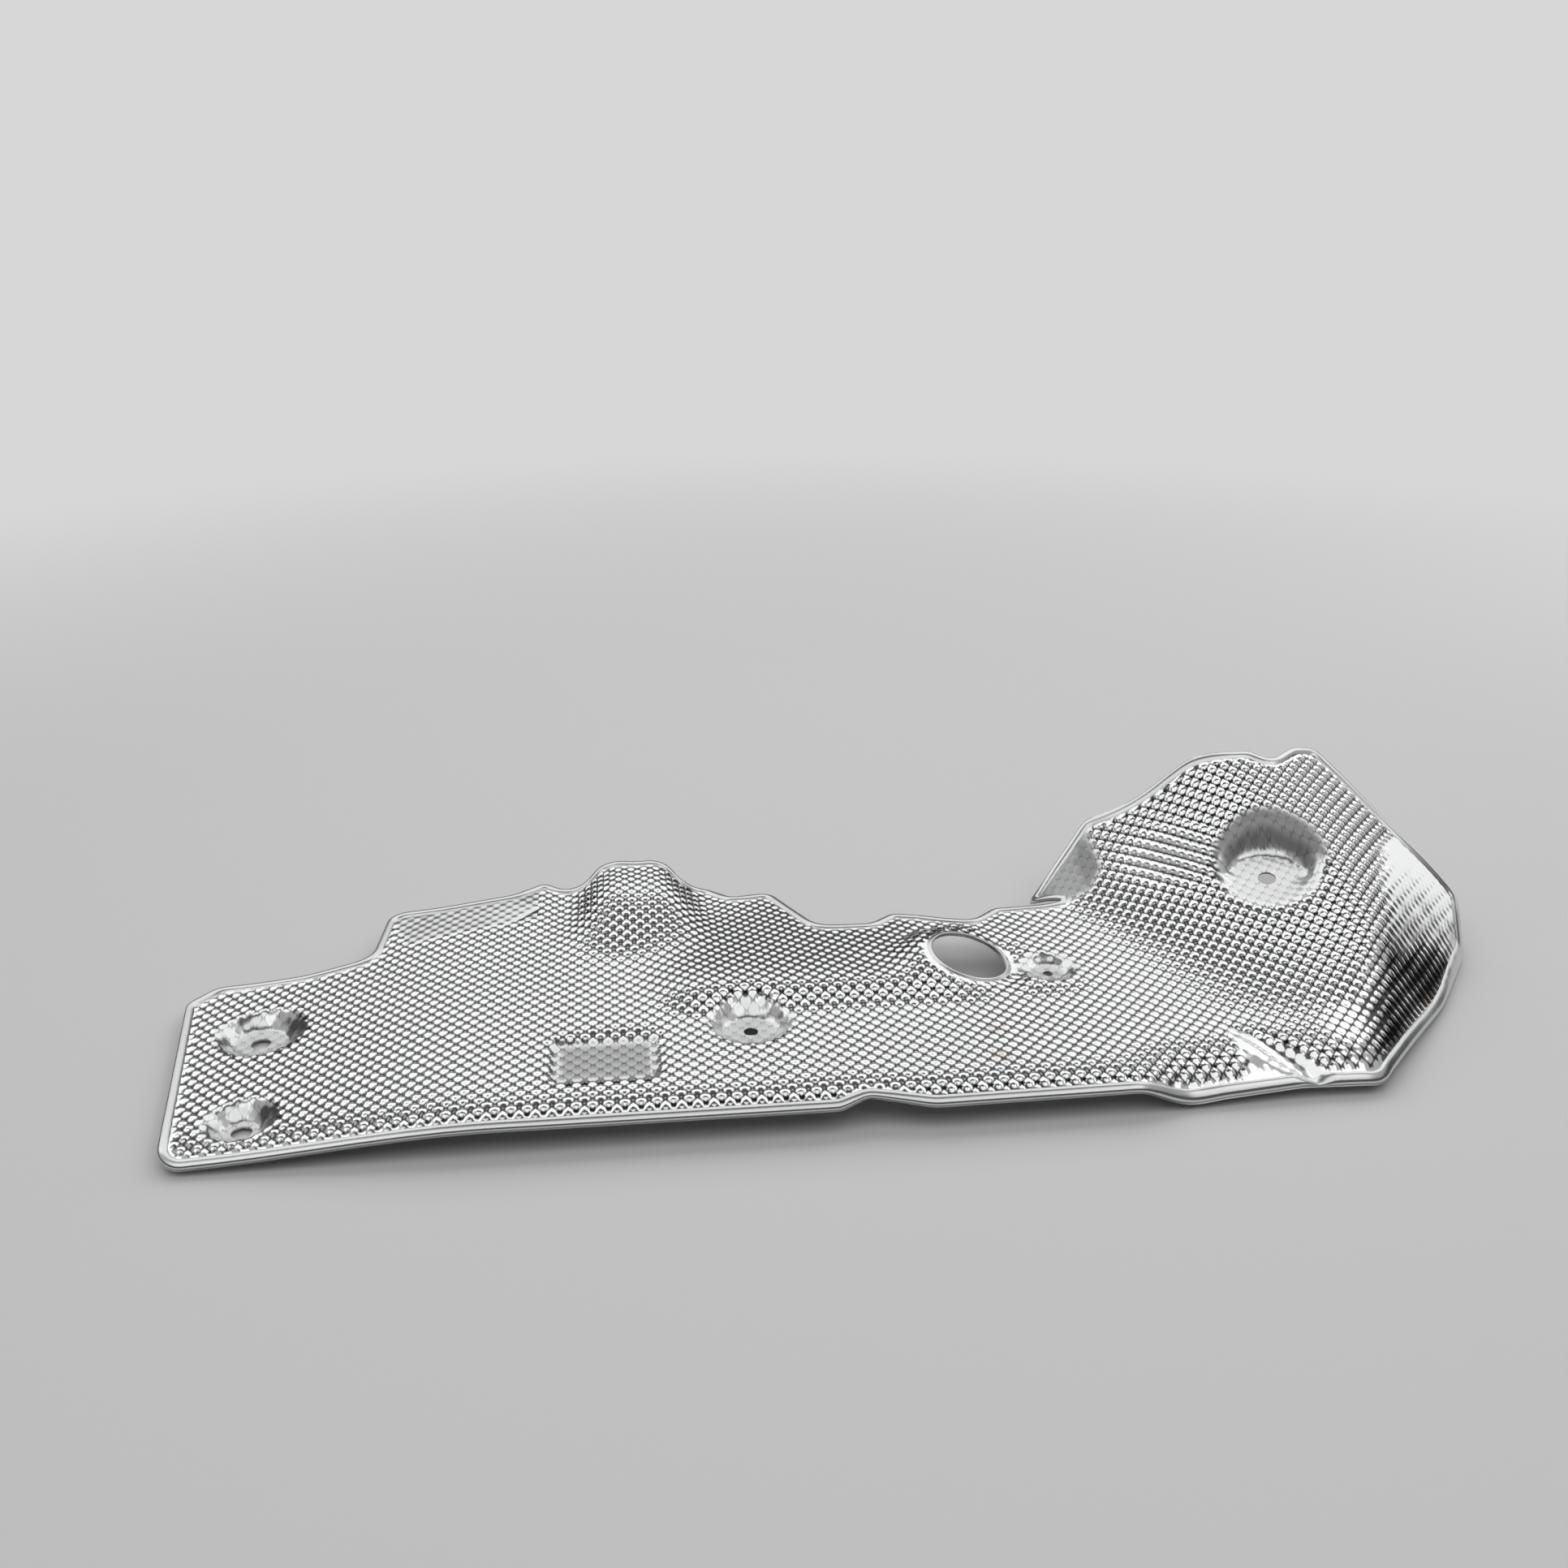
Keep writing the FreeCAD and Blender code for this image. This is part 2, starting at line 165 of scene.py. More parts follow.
# Patches whose grooves are painted darker and wider as painted shade, in mm: corners, how much wider the
# painted shade is, fade at the border
REAR_FIELD = [(-95.0, 0.0), (-20.0, -12.0), (36.0, 0.0), (36.0, 60.0), (-20.0, 95.0), (-88.0, 60.0)]
SHADED_GROOVE_PATCHES = [
    (REAR_FIELD, 0.16, 22.0),
    (FLANK, 0.5, 8.0),
]

# Folds are rounded by smoothing the bare sheet, with a softness from place to place
SMOOTHING_ROUNDS = 260
SMOOTHING_STRENGTH = 0.5
BASE_SOFTNESS = 0.038
BORDER_CLEAR = 8.0 * MM
SEAT_CLEAR = (-1.0 * MM, 8.0 * MM)
RECESS_SOFTNESS = 0.006
RECESS_SOFTNESS_FADE = 2.0

# Patches with softer folds in mm: corners, softness, fade at the border
REAR_STEP = [(-140.0, -60.0), (136.0, -60.0), (136.0, 24.0), (-140.0, 24.0)]
DART = [(160.0, -76.0), (182.0, -118.0), (208.0, -114.0), (208.0, -98.0), (174.0, -66.0)]
SOFT_PATCHES = [
    (REAR_STEP, 0.35, 8.0),
    (DART, 0.2, 3.0),
]

# The raised seat's lip is softer, and its front softer still: where each ends outside the mouth, where each
# begins round the floor or the hole, and where the front begins ahead of the hole
RAISED_LIP_SOFTNESS = 0.15
RAISED_LIP_END = (4.0 * MM, 12.0 * MM)
RAISED_LIP_START = (-2.0 * MM, 3.0 * MM)
RAISED_FRONT_SOFTNESS = 0.9
RAISED_FRONT_END = (4.0 * MM, 14.0 * MM)
RAISED_FRONT_START = (7.0 * MM, 12.0 * MM)
RAISED_FRONT_AHEAD = (-4.0 * MM, 8.0 * MM)

# Smooth ridge of the right end in mm, and the flank to the right of it
RIDGE = [(203.0, -80.0), (226.0, -65.0), (253.5, -48.5), (295.0, -7.0), (341.0, 36.0)]
RIDGE_HALF_WIDTH = 9.0
RIDGE_FADE = (0.5, 1.3)
RIDGE_FORM = 0.1
RIDGE_START_FORM = 0.8
# Painted shade: the ridge keeps dark groove lines in colour where its domes fade out
RIDGE_SHADE_LINES_FADE = (0.1, 0.35)
FLANK_FORM = 0.35

# Patches whose domes run together along their rows, in mm: middle x, y, half length, half width, turn of the
# patch in degrees, strength
STREAKS = [
    (184.0, 54.0, 36.0, 24.0, -36.0, 0.75),
]
STREAK_FADE = (0.4, 1.1)
# How far the streaks leave the rows of domes, in rows, and over what length
STREAK_WOBBLE = 0.15
STREAK_WOBBLE_LENGTH = 16.0 * MM

# Crease beside the pad in mm, from start to end; it is sunk and painted dark along its line as painted shade
CREASE = ((-176.0, 74.0), (-164.0, 88.0))
CREASE_HALF_WIDTH = 1.8
CREASE_CORE = 0.3
CREASE_DEPTH = 0.8 * MM

# Stains in mm: middle x, y, reach, strength
STAINS = [
    (290.0, -51.0, 11.0, 0.8),
    (55.0, -91.0, 6.0, 0.4),
    (57.0, -66.0, 5.0, 0.35),
]
STAIN_FADE = (0.3, 1.2)
STAIN_RAGGEDNESS = 0.5
STAIN_GRAIN = 5.0 * MM

# Finish of the sheet: painted groove shade and dome colour with the levels they start at, tints for painted
# shade and for stains, and roughness
SHEET_COLOUR = (0.9, 0.9, 0.9)
# Painted shade: the grooves between the domes are coloured near black, standing in for the dark reflections
# and shade in them
GROOVE_SHADE_COLOUR = (0.06, 0.06, 0.063)
GROOVE_SHADE_LEVEL = 0.06
DOME_COLOUR = (0.91, 0.915, 0.92)
DOME_LEVEL = 0.4
# Painted shade: pressed seats, walls and patches are darkened in colour as well as made rougher
PAINTED_SHADE_TINT = (0.4, 0.4, 0.4)
STAIN_TINT = (0.62, 0.47, 0.33)
BRIGHT_ROUGHNESS = 0.15
DULL_ROUGHNESS = 0.5
HEM_COLOUR = (0.74, 0.745, 0.75)
HEM_ROUGHNESS = 0.26
UNDERSIDE_COLOUR = (0.6, 0.6, 0.61)
UNDERSIDE_ROUGHNESS = 0.4

# Angles in degrees above which an edge is shaded as sharp
SHEET_ANGLE = 40.0
HEM_ANGLE = 50.0
RIM_ANGLE = 60.0
UNDERSIDE_ANGLE = 30.0

# Camera, fitted to the photo
CAMERA_PLACE = (-0.1137, -0.7107, 0.4147)
CAMERA_TILT = 67.72
CAMERA_TURN = -6.14
CAMERA_ROLL = -0.2
CAMERA_LENS = 36.26

# Soft boxes: place, size and brightness of the lit face
SOFT_BOXES = {
    "rear_box": ((0.05, 1.05, 1.208), (3.0, 1.425), 1.0),
    "front_box": ((0.0, -0.75, 1.41), (2.4, 1.29), 0.9),
    "left_box": ((-1.07, 0.0, 1.19), (1.6, 1.16), 0.35),
    "right_box": ((1.07, 0.0, 1.19), (1.6, 1.16), 0.35),
    "corner_box": ((1.336, 0.674, 0.408), (0.48, 0.8), 0.9),
}

# Studio: dim room for reflections, pale background for the camera, and floor
ROOM_GREY = 0.05
PALE_GREY = 0.68
FLOOR_HEIGHT = -2.0 * MM
FLOOR_SIZE = 40.0
FLOOR_COLOUR = (0.9, 0.9, 0.9)
FLOOR_ROUGHNESS = 0.8
FLOOR_FADE_FROM = 0.55
FLOOR_FADE_TO = 1.6


def deselect_all():
    bpy.ops.object.select_all(action="DESELECT")


def make_active(piece):
    deselect_all()
    piece.select_set(True)
    bpy.context.view_layer.objects.active = piece


def apply_modifier(piece, name, kind, **settings):
    make_active(piece)
    modifier = piece.modifiers.new(name, kind)
    for setting, value in settings.items():
        setattr(modifier, setting, value)
    bpy.ops.object.modifier_apply(modifier=name)


def piece_from(mesh, name):
    """New object from a finished bmesh."""
    data = bpy.data.meshes.new(name)
    mesh.to_mesh(data)
    mesh.free()
    piece = bpy.data.objects.new(name, data)
    bpy.context.collection.objects.link(piece)
    return piece


def ease(start, end, value):
    share = min(1.0, max(0.0, (value - start) / (end - start)))
    return share * share * (3.0 - 2.0 * share)


def ease_past(radius, fade, distance):
    """Eased step over a stretch that is given as two distances past a radius."""
    return ease(radius + fade[0], radius + fade[1], distance)


def left_of(x, y, start, end):
    """Distance of a place to the left of the line from start to end."""
    run_x, run_y = end[0] - start[0], end[1] - start[1]
    return ((y - start[1]) * run_x - (x - start[0]) * run_y) / math.hypot(run_x, run_y)


def inside_patch(x, y, corners, fade):
    """1 well inside a patch given in mm, 0 outside it."""
    x, y = x / MM, y / MM
    depth = min(left_of(x, y, corners[index - 1], corners[index]) for index in range(len(corners)))
    return ease(-fade, fade, depth)


def from_line(x, y, start, end):
    """Distance of a place in mm from the line between two points."""
    run_x, run_y = end[0] - start[0], end[1] - start[1]
    share = ((x - start[0]) * run_x + (y - start[1]) * run_y) / (run_x ** 2 + run_y ** 2)
    share = min(1.0, max(0.0, share))
    return math.hypot(x - start[0] - share * run_x, y - start[1] - share * run_y)


def merged_shield():
    """The solid as one connected mesh, to read its form from."""
    mesh = bmesh.new()
    mesh.from_mesh(shield.data)
    bmesh.ops.remove_doubles(mesh, verts=mesh.verts, dist=MERGE_GAP)
    mesh.normal_update()
    return mesh


cad_mesh = merged_shield()
cad_tree = BVHTree.FromBMesh(cad_mesh)
DOWN = Vector((0, 0, -1))


def top_height(x, y):
    return cad_tree.ray_cast(Vector((x, y, DROP_HEIGHT)), DOWN)[0].z


def under_height(x, y):
    return cad_tree.ray_cast(Vector((x, y, -DROP_HEIGHT)), -DOWN)[0].z


def is_lower_rim(edge):
    """Whether an edge runs between the underside and an upright wall."""
    if len(edge.link_faces) != 2:
        return False
    slopes = sorted(face.normal.z for face in edge.link_faces)
    return slopes[0] < UNDERSIDE_SLOPE and abs(slopes[1]) < WALL_SLOPE


def longest_loop(edges):
    """Points of the longest closed chain of edges."""
    following = {}
    for edge in edges:
        first, second = edge.verts
        following.setdefault(first, []).append(second)
        following.setdefault(second, []).append(first)
    loops = []
    while following:
        here = next(iter(following))
        chain = []
        while here is not None:
            chain.append(here.co.copy())
            beside = following.pop(here)
            here = next((vert for vert in beside if vert in following), None)
        loops.append(chain)
    return max(loops, key=len)


def even_points(points, gap):
    """Closed chain of points in plan, spaced evenly."""
    plan = [Vector((point.x, point.y)) for point in points]
    lengths = [(plan[index] - plan[index - 1]).length for index in range(len(plan))]
    count = round(sum(lengths) / gap)
    spacing = sum(lengths) / count
    spaced, travelled = [], 0.0
    for index, length in enumerate(lengths):
        while len(spaced) < count and len(spaced) * spacing <= travelled + length:
            share = (len(spaced) * spacing - travelled) / max(length, TINY)
            spaced.append(plan[index - 1].lerp(plan[index], share))
        travelled += length
    return spaced


def counter_clockwise(points):
    area = sum(points[index - 1].cross(points[index]) for index in range(len(points)))
    return points if area > 0 else points[::-1]


rim_edges = [edge for edge in cad_mesh.edges if is_lower_rim(edge)]
outline = counter_clockwise(even_points(longest_loop(rim_edges), HEM_POINT_GAP))


def outline_tree():
    tree = kdtree.KDTree(len(outline) * OUTLINE_PARTS)
    for index in range(len(outline)):
        for part in range(OUTLINE_PARTS):
            point = outline[index - 1].lerp(outline[index], part / OUTLINE_PARTS)
            tree.insert((point.x, point.y, 0), index * OUTLINE_PARTS + part)
    tree.balance()
    return tree


edge_tree = outline_tree()


def edge_distance(x, y):
    return edge_tree.find((x, y, 0))[2]


def large_hole_distance(place):
    """Distance of a place from the large hole's axis."""
    axis = Vector(LARGE_HOLE_AXIS).normalized()
    reach = Vector(place) - Vector(LARGE_HOLE_CENTRE)
    return (reach - axis * reach.dot(axis)).length


def plan_distance(x, y, centre):
    """Distance of a place from a point, seen from above."""
    return math.hypot(x - centre[0], y - centre[1])


def from_dome(x, y):
    """Way from the middle of the nearest dome to a place."""
    across = (x - DOME_ORIGIN[0]) / DOME_STEP_X
    along = (y - DOME_ORIGIN[1]) / DOME_STEP_Y
    first, second = round((across + along) / 2), round((across - along) / 2)
    return (across - first - second) * DOME_STEP_X, (along - first + second) * DOME_STEP_Y


def painted_shade_lightness(x, y):
    """1 at the middle of a dome, 0 in the grooves."""
    reach = math.hypot(*from_dome(x, y)) / DOME_RADIUS
    return max(0.0, 1.0 - reach ** DOME_FULLNESS)


def streak_share(x, y, streak):
    """How far a place lies in a streaked patch, and the height of its streaks along the rows of domes."""
    middle_x, middle_y, length, width, turn, strength = streak
    turn = math.radians(turn)
    from_x, from_y = x - middle_x * MM, y - middle_y * MM
    along = from_x * math.cos(turn) + from_y * math.sin(turn)
    across = from_y * math.cos(turn) - from_x * math.sin(turn)
    reach = math.hypot(along / (length * MM), across / (width * MM))
    row = (x - DOME_ORIGIN[0]) / DOME_STEP_X / 2 + (y - DOME_ORIGIN[1]) / DOME_STEP_Y / 2
    row += STREAK_WOBBLE * noise.noise(Vector((x, y, 0)) / STREAK_WOBBLE_LENGTH)
    level = 0.5 + 0.5 * math.cos(2 * math.pi * row)
    return strength * (1.0 - ease(*STREAK_FADE, reach)), level


def crease_share(x, y):
    distance = from_line(x / MM, y / MM, *CREASE)
    return 1.0 - ease(CREASE_CORE * CREASE_HALF_WIDTH, CREASE_HALF_WIDTH, distance)


def stain_share(x, y):
    share = 0.0
    for middle_x, middle_y, reach, strength in STAINS:
        distance = math.hypot(x / MM - middle_x, y / MM - middle_y) / reach
        distance += STAIN_RAGGEDNESS * noise.noise(Vector((x, y, 0)) / STAIN_GRAIN)
        share = max(share, strength * (1.0 - ease(*STAIN_FADE, distance)))
    return share


def ridge_share(x, y):
    """Share of the emboss left on the smooth ridge of the right end and on the flank beside it."""
    x, y = x / MM, y / MM
    nearest, side = math.inf, 0.0
    for start, end in zip(RIDGE, RIDGE[1:]):
        distance = from_line(x, y, start, end)
        if distance < nearest:
            nearest, side = distance, left_of(x, y, start, end)
    started = ease(RIDGE[0][0], RIDGE[1][0], x)
    ridge_form = RIDGE_START_FORM + (RIDGE_FORM - RIDGE_START_FORM) * ease(RIDGE[1][0], RIDGE[3][0], x)
    band = 1.0 - ease(RIDGE_HALF_WIDTH * RIDGE_FADE[0], RIDGE_HALF_WIDTH * RIDGE_FADE[1], nearest)
    left = 1.0 - (1.0 - FLANK_FORM) * ease(0.0, RIDGE_HALF_WIDTH, -side)
    left -= max(0.0, left - ridge_form) * band
    return 1.0 - started * (1.0 - left)


def seat_distances(x, y, hole):
    """Distance of a place from a bolt hole and from the middle of its seat's mouth."""
    seat = FLAT_SEATS[hole["name"]]
    from_x, from_y = x - hole["pos_m"][0], y - hole["pos_m"][1]
    return math.hypot(from_x, from_y), math.hypot(from_x - seat.shift_x, from_y - seat.shift_y)


def rearward(x, y, hole):
    """Distance of a place from a bolt hole towards the rear, and a little to the right."""
    return y - hole["pos_m"][1] + RAISED_REAR_SKEW * (x - hole["pos_m"][0])


def emboss_shares(x, y):
    """Shares left at a place of the domes' form and of the painted shade of their groove lines, and how dull
    and painted dark the sheet is.
    """
    form = ridge_share(x, y)
    # Painted shade: the groove lines keep their dark colour where the domes' form is pressed flatter
    groove_shade_share, dull_and_shaded = max(form, ease(*RIDGE_SHADE_LINES_FADE, form)), 0.0
    for hole in bolt_holes:
        seat = FLAT_SEATS[hole["name"]]
        from_hole, from_mouth = seat_distances(x, y, hole)
        pressed = 1.0 - ease(seat.mouth - SEAT_FADE, seat.mouth + SEAT_FADE, from_mouth)
        form = min(form, 1.0 - (1.0 - SEAT_FORM) * pressed)
        groove_shade_share = min(groove_shade_share, 1.0 - (1.0 - SEAT_SHADE_LINES) * pressed)
        wall = ease(seat.floor - SEAT_FLOOR_FADE, seat.floor + SEAT_FLOOR_FADE, from_hole)
        dull_and_shaded = max(dull_and_shaded, seat.dullness * (1.0 - wall), SEAT_WALL_DULLNESS_AND_SHADE * pressed)
        if hole["name"] == RAISED_SEAT:
            # Painted shade: the raised seat's rear wall is darkened in colour
            dull_and_shaded = max(dull_and_shaded, wall * pressed * ease(0.0, RAISED_REAR_FADE, rearward(x, y, hole)))
    for corners, form_left, shade_lines_left, dullness, fade in FLAT_PATCHES:
        pressed = inside_patch(x, y, corners, fade)
        form = min(form, 1.0 - (1.0 - form_left) * pressed)
        groove_shade_share = min(groove_shade_share, 1.0 - (1.0 - shade_lines_left) * pressed)
        dull_and_shaded = max(dull_and_shaded, dullness * pressed)
    distance = plan_distance(x, y, LARGE_HOLE_CENTRE)
    border = ease(RIM_FOOT_RADIUS, RIM_FOOT_RADIUS + RIM_FADE, distance)
    border *= ease(HEM_WIDTH, HEM_WIDTH + HEM_FADE, edge_distance(x, y))
    return form * border, groove_shade_share * border, dull_and_shaded


def raised_seat_softness(x, y, hole):
    """Softness of the raised seat's lip and front."""
    seat = FLAT_SEATS[RAISED_SEAT]
    from_hole, from_mouth = seat_distances(x, y, hole)
    lip = 1.0 - ease_past(seat.mouth, RAISED_LIP_END, from_mouth)
    lip *= ease_past(seat.floor, RAISED_LIP_START, from_hole)
    front = 1.0 - ease_past(seat.mouth, RAISED_FRONT_END, from_mouth)
    front *= ease(*RAISED_FRONT_START, from_hole) * ease(*RAISED_FRONT_AHEAD, -rearward(x, y, hole))
    return max(RAISED_LIP_SOFTNESS * lip, RAISED_FRONT_SOFTNESS * front)


def softness(x, y):
    """How far the folds of the bare sheet are rounded at a place."""
    soft = BASE_SOFTNESS
    for corners, softest, fade in SOFT_PATCHES:
        soft = max(soft, softest * inside_patch(x, y, corners, fade))
    for hole in bolt_holes:
        if hole["name"] == RAISED_SEAT:
            soft = max(soft, raised_seat_softness(x, y, hole))
        else:
            clear = ease_past(FLAT_SEATS[hole["name"]].mouth, SEAT_CLEAR, seat_distances(x, y, hole)[1])
            soft = BASE_SOFTNESS + (soft - BASE_SOFTNESS) * clear
    distance = plan_distance(x, y, LARGE_HOLE_CENTRE)
    clear = ease(RIM_FOOT_RADIUS, RIM_FOOT_RADIUS + BORDER_CLEAR, distance)
    clear *= ease(HEM_WIDTH, HEM_WIDTH + BORDER_CLEAR, edge_distance(x, y))
    soft = BASE_SOFTNESS + (soft - BASE_SOFTNESS) * clear
    return soft + (RECESS_SOFTNESS - soft) * inside_patch(x, y, RECESS, RECESS_SOFTNESS_FADE)


def lay_net():
    """Flat net whose lines run along the grooves, with a round ring of points on each dome."""
    sides = DOMES_TO_CORNER * DOME_PARTS
    bpy.ops.mesh.primitive_grid_add(x_subdivisions=sides, y_subdivisions=sides, size=1.0)
    net = bpy.context.object
    net.name = "embossed_sheet"
    net.rotation_euler.z = math.radians(45)
    bpy.ops.object.transform_apply(rotation=True)
    reach = DOMES_TO_CORNER * math.sqrt(2)
    net.scale = (DOME_STEP_X * reach, DOME_STEP_Y * reach, 1)
    net.location = (*DOME_ORIGIN, DROP_HEIGHT)
    bpy.ops.object.transform_apply(location=True, scale=True)
    for point in net.data.vertices:
        from_x, from_y = from_dome(point.co.x, point.co.y)
        distance = math.hypot(from_x, from_y)
        if DOME_RING_FROM < distance < DOME_RING_TO:
            point.co.x += from_x * (DOME_RING / distance - 1.0)
            point.co.y += from_y * (DOME_RING / distance - 1.0)
    return net


def delete_points(piece, unwanted):
    make_active(piece)
    bpy.ops.object.mode_set(mode="EDIT")
    bpy.ops.mesh.select_all(action="DESELECT")
    bpy.ops.object.mode_set(mode="OBJECT")
    for point in piece.data.vertices:
        point.select = unwanted(point.co)
    bpy.ops.object.mode_set(mode="EDIT")
    bpy.ops.mesh.delete(type="VERT")
    bpy.ops.object.mode_set(mode="OBJECT")


def drop_on_shield(net):
    """The net falls on the solid. What misses it or lies in the hem's fold or under the rim is taken away."""
    apply_modifier(
        net,
        "drop",
        "SHRINKWRAP",
        target=shield,
        wrap_method="PROJECT",
        use_project_z=True,
        use_negative_direction=True,
        use_positive_direction=False,
    )
    highest = cad_box[1].z + MISS_HEIGHT

    def unwanted(place):
        if place.z > highest or edge_distance(place.x, place.y) < HEM_TUCK:
            return True
        return large_hole_distance(place) < RIM_FOOT_RADIUS - RIM_TUCK

    delete_points(net, unwanted)
    for point in net.data.vertices:
        if edge_distance(point.co.x, point.co.y) < HEM_WIDTH + HEM_OVERLAP:
            point.co.z -= HEM_THICKNESS / max(STEEPEST_SLOPE, point.normal.z)


def open_edges_near(mesh, centre, axis, radius):
    """Open edges of a mesh round a hole."""
    near = []
    for edge in mesh.edges:
        if len(edge.link_faces) == 1:
            middle = (edge.verts[0].co + edge.verts[1].co) / 2 - centre
            if (middle - axis * middle.dot(axis)).length < radius + HOLE_SNAP:
                near.append(edge)
    return near


def round_holes(net):
    """Hole edges drawn onto true circles and turned down through the sheet's thickness."""
    holes = [(hole["pos_m"], hole["axis"], hole["dims"]["r_mm"] * MM) for hole in bolt_holes]
    holes.append((LARGE_HOLE_CENTRE, LARGE_HOLE_AXIS, RIM_FOOT_RADIUS))
    mesh = bmesh.new()
    mesh.from_mesh(net.data)
    for centre, axis, radius in holes:
        centre, axis = Vector(centre), Vector(axis).normalized()
        rim = open_edges_near(mesh, centre, axis, radius)
        for vert in {vert for edge in rim for vert in edge.verts}:
            reach = vert.co - centre
            along = axis * reach.dot(axis)
            vert.co = centre + along + (reach - along).normalized() * radius
        made = bmesh.ops.extrude_edge_only(mesh, edges=rim)["geom"]
        for vert in [item for item in made if isinstance(item, bmesh.types.BMVert)]:
            vert.co -= axis * HOLE_WALL_DEPTH
    mesh.to_mesh(net.data)
    mesh.free()


def wave_sheet(net):
    """Slight waves of the bare sheet, its crease, and the dented facet of the raised end's left flank."""
    for point in net.data.vertices:
        x, y = point.co.x, point.co.y
        clear = ease(HEM_WIDTH, WAVE_EDGE_FADE, edge_distance(x, y))
        for hole in bolt_holes:
            clear = min(clear, ease(*WAVE_HOLE_FADE, plan_distance(x, y, hole["pos_m"])))
        wave = noise.noise(Vector((x, y, 0)) / WAVE_LENGTH)
        dent = inside_patch(x, y, FACET, FACET_DENT_FADE)
        point.co.z += WAVE_HEIGHT * wave * clear - FACET_DENT * dent
        point.co.z -= CREASE_DEPTH * crease_share(x, y)


def soften_folds(net):
    """Folds of the bare sheet rounded, more or less from place to place."""
    group = net.vertex_groups.new(name="softness")
    for point in net.data.vertices:
        group.add([point.index], softness(point.co.x, point.co.y), "REPLACE")
    apply_modifier(
        net,
        "soften",
        "SMOOTH",
        factor=SMOOTHING_STRENGTH,
        iterations=SMOOTHING_ROUNDS,
        use_x=False,
        use_y=False,
        vertex_group="softness",
    )
    net.vertex_groups.clear()


def emboss(net):
    """Domes raised along the sheet's normals. Their painted groove shade, their dullness with its painted
    shade, and stains are kept for the finish.
    """
    net.data.update()
    heights = net.data.attributes.new("painted_shade_lightness", "FLOAT", "POINT")
    dullness = net.data.attributes.new("dullness", "FLOAT", "POINT")
    stains = net.data.attributes.new("stain", "FLOAT", "POINT")
    moved = []
    for point in net.data.vertices:
        x, y = point.co.x, point.co.y
        form, groove_shade_share, dull_and_shaded = emboss_shares(x, y)
        height = painted_shade_lightness(x, y)
        for streak in STREAKS:
            streaked, level = streak_share(x, y, streak)
            height += (level - height) * streaked
        # Painted shade: shown is how light the sheet is painted, low in the grooves and groove lines, where
        # the colour turns near black
        shown = 1.0 - groove_shade_share + groove_shade_share * height
        # Painted shade: the rear field and the flank only get darker colour here; their grooves are not made
        # deeper
        for corners, more_shade, fade in SHADED_GROOVE_PATCHES:
            shown -= more_shade * inside_patch(x, y, corners, fade)
        # Painted shade: the crease is painted dark along its line
        heights.data[point.index].value = shown * (1.0 - crease_share(x, y))
        dullness.data[point.index].value = dull_and_shaded
        stains.data[point.index].value = stain_share(x, y)
        lift = form * (height * (DOME_RISE + GROOVE_DROP) - GROOVE_DROP)
        moved.append(point.co + point.normal * lift)
    for point, place in zip(net.data.vertices, moved):
        point.co = place


def sinking(net, heights):
    """Places of the net in plan, and how far each has sunk below the height that it was dropped to."""
    tree = kdtree.KDTree(len(heights))
    sunk = []
    for point, height in zip(net.data.vertices, heights):
        tree.insert((point.co.x, point.co.y, 0), point.index)
        sunk.append(min(0.0, point.co.z - height))
    tree.balance()
    return tree, sunk


def make_sheet():
    """The embossed upper face, and how far its folds and dents have sunk."""
    sheet = lay_net()
    drop_on_shield(sheet)
    heights = [point.co.z for point in sheet.data.vertices]
    wave_sheet(sheet)
    soften_folds(sheet)
    sunk = sinking(sheet, heights)
    emboss(sheet)
    round_holes(sheet)
    return sheet, sunk


# Section of the hem: distance in from the edge in mm, and share of the way from the underside to the top
HEM_PROFILE = [
    (4.6, 0.44),
    (4.1, 0.66),
    (3.4, 0.90),
    (2.2, 1.0),
    (0.9, 0.98),
    (0.35, 0.88),
    (0.06, 0.68),
    (0.0, 0.5),
    (0.06, 0.32),
    (0.35, 0.12),
    (0.9, 0.0),
    (4.0, 0.0),
]


def bridge_rings(mesh, rings, first_corner):
    """Faces between each ring of points and the next, all the way round."""
    for index in range(len(rings)):
        first, second = rings[index - 1], rings[index]
        for corner in range(first_corner, len(first)):
            mesh.faces.new((first[corner - 1], first[corner], second[corner], second[corner - 1]))


def make_hem():
    """Band swept along the outline, as wide and thick as the folded edge."""
    mesh = bmesh.new()
    rings = []
    count = len(outline)
    for index, point in enumerate(outline):
        along = (outline[(index + 1) % count] - outline[index - 1]).normalized()
        inward = Vector((-along.y, along.x))
        near, far = point + inward * HEM_NEAR * MM, point + inward * HEM_FAR * MM
        near_top, far_top = top_height(near.x, near.y), top_height(far.x, far.y)
        near_under, far_under = under_height(near.x, near.y), under_height(far.x, far.y)
        ring = []
        for inset, level in HEM_PROFILE:
            place = point + inward * inset * MM
            share = (inset - HEM_NEAR) / (HEM_FAR - HEM_NEAR)
            top = near_top + (far_top - near_top) * share
            under = near_under + (far_under - near_under) * share
            ring.append(mesh.verts.new((place.x, place.y, under + (top - under) * level)))
        rings.append(ring)
    bridge_rings(mesh, rings, 0)
    bmesh.ops.recalc_face_normals(mesh, faces=mesh.faces)
    return piece_from(mesh, "hem")


# Section of the large hole's rim: radius and height over the seat in mm
RIM_PROFILE = [
    (20.0, -0.9),
    (20.0, 0.6),
    (20.12, 0.86),
    (20.4, 1.0),
    (20.9, 0.95),
    (21.6, 0.55),
    (22.6, 0.12),
    (23.6, -0.15),
]
RIM_SIDES = 96


